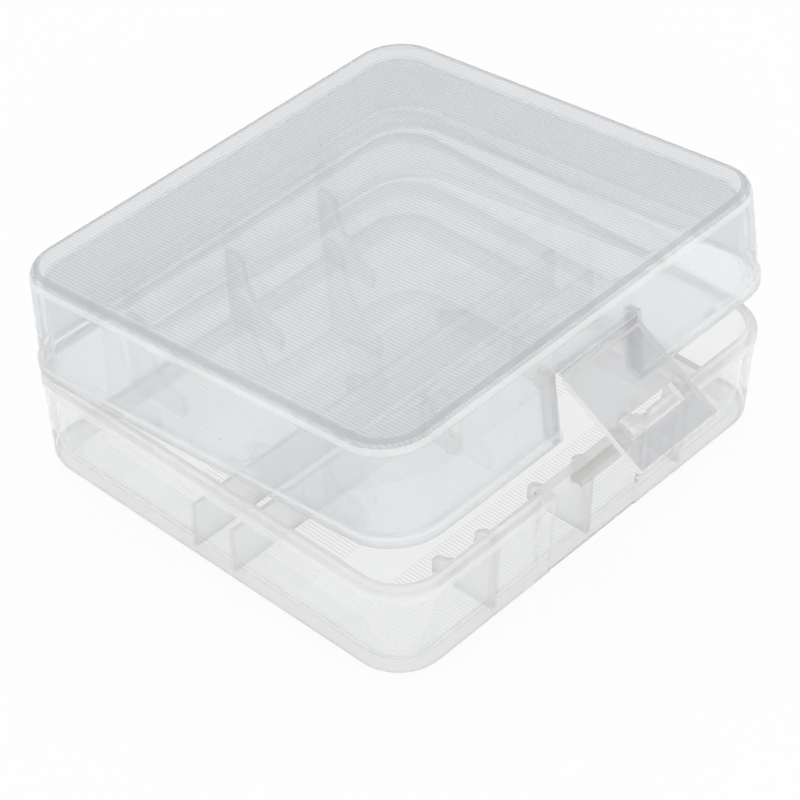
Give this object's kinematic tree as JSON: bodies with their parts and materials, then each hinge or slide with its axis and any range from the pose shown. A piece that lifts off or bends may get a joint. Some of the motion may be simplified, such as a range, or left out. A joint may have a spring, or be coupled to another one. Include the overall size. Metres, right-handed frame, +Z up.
{
  "type": "two-cell battery storage case",
  "caption": "Clear hinged plastic case with two long bays and cradle ribs for fat round cells, closed by a slotted snap tab; lid ajar, tab swung out.",
  "frame": {"origin": "bottom centre of the base, on the table", "axes": "+X along the hinge, to the right seen from the latch side; +Y from the latch to the hinge; +Z up"},
  "size_m": [0.0786, 0.0847, 0.0389],
  "materials": {
    "tray_plastic": "translucent polypropylene, semi-gloss outside, fine machining lines on the floor",
    "lid_plastic": "translucent polypropylene, semi-gloss walls, fine machining lines on the top",
    "rib_plastic": "translucent polypropylene, seen edge on and so a little darker",
    "hinge_plastic": "thin translucent polypropylene film, whitened where it folds",
    "latch_plastic": "translucent polypropylene, polished"
  },
  "bodies": {
    "base": {"base_tray": "tray_plastic", "rim_tongue": "tray_plastic", "catch_ledge": "rib_plastic", "cross_wall_front": "rib_plastic", "cross_wall_rear": "rib_plastic", "front_rib_left": "rib_plastic", "front_rib_middle": "rib_plastic", "front_rib_right": "rib_plastic", "front_gusset_left": "rib_plastic", "front_gusset_middle": "rib_plastic", "front_gusset_right": "rib_plastic", "rear_gusset_left": "rib_plastic", "rear_gusset_middle": "rib_plastic", "rear_gusset_right": "rib_plastic", "rear_rib_left": "rib_plastic", "rear_rib_middle": "rib_plastic", "rear_rib_right": "rib_plastic", "hinge_web_base": "hinge_plastic"},
    "lid": {"hinge_web_lid": "hinge_plastic", "lid_shell": "lid_plastic", "lid_lip": "lid_plastic", "notch_cheek_left": "rib_plastic", "notch_cheek_right": "rib_plastic", "latch_rail": "hinge_plastic"},
    "latch": {"latch_tab": "latch_plastic"}
  },
  "joints": [
    {"name": "lid_hinge", "type": "hinge", "parent": "base", "child": "lid", "pos_m": [0, 0.0361, 0.01585], "axis": [-1, 0, 0], "range_deg": [-6.7, 173]},
    {"name": "latch_hinge", "type": "hinge", "parent": "lid", "child": "latch", "pos_m": [0, -0.03442, 0.03405], "axis": [-1, 0, 0], "range_deg": [-53.2, 95]}
  ]
}
